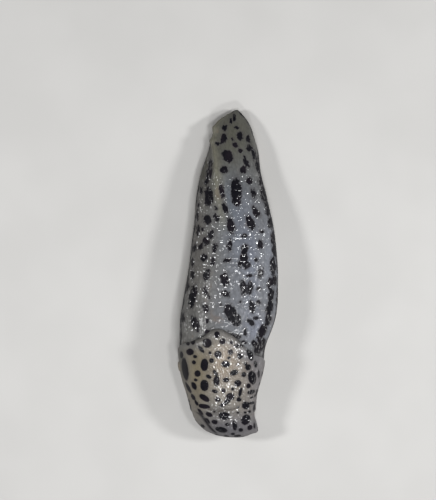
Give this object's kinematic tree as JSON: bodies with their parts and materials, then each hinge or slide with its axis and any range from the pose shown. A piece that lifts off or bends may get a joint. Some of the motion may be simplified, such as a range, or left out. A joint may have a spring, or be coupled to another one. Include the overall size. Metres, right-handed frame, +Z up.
{
  "type": "leopard slug",
  "caption": "Life-size still model of a spotted keelback slug at rest, drawn in, its head tucked under a hooded mantle.",
  "frame": {"origin": "On the floor under the middle of the slug's bounding box", "axes": "+Z up, +Y from the head towards the tip of the tail, so the slug faces -Y; +X towards the slug's left side"},
  "size_m": [0.0274, 0.0898, 0.0162],
  "materials": {
    "back_skin": "moist grey-brown skin with dark spots",
    "mantle_skin": "moist khaki-grey skin with dark spots",
    "head_skin": "moist pale grey-brown skin",
    "sole_skin": "moist pale creamy skin",
    "eye_black": "glossy black"
  },
  "bodies": {
    "root": {"mantle": "mantle_skin", "head": "head_skin", "neck": "back_skin", "trunk_front": "back_skin", "trunk_middle": "back_skin", "trunk_rear": "back_skin", "tail": "back_skin", "foot_front": "sole_skin", "foot_middle": "sole_skin", "foot_rear": "sole_skin", "upper_tentacle_left": "head_skin", "upper_tentacle_right": "head_skin", "lower_tentacle_left": "head_skin", "lower_tentacle_right": "head_skin", "eye_left": "eye_black", "eye_right": "eye_black"}
  },
  "joints": []
}
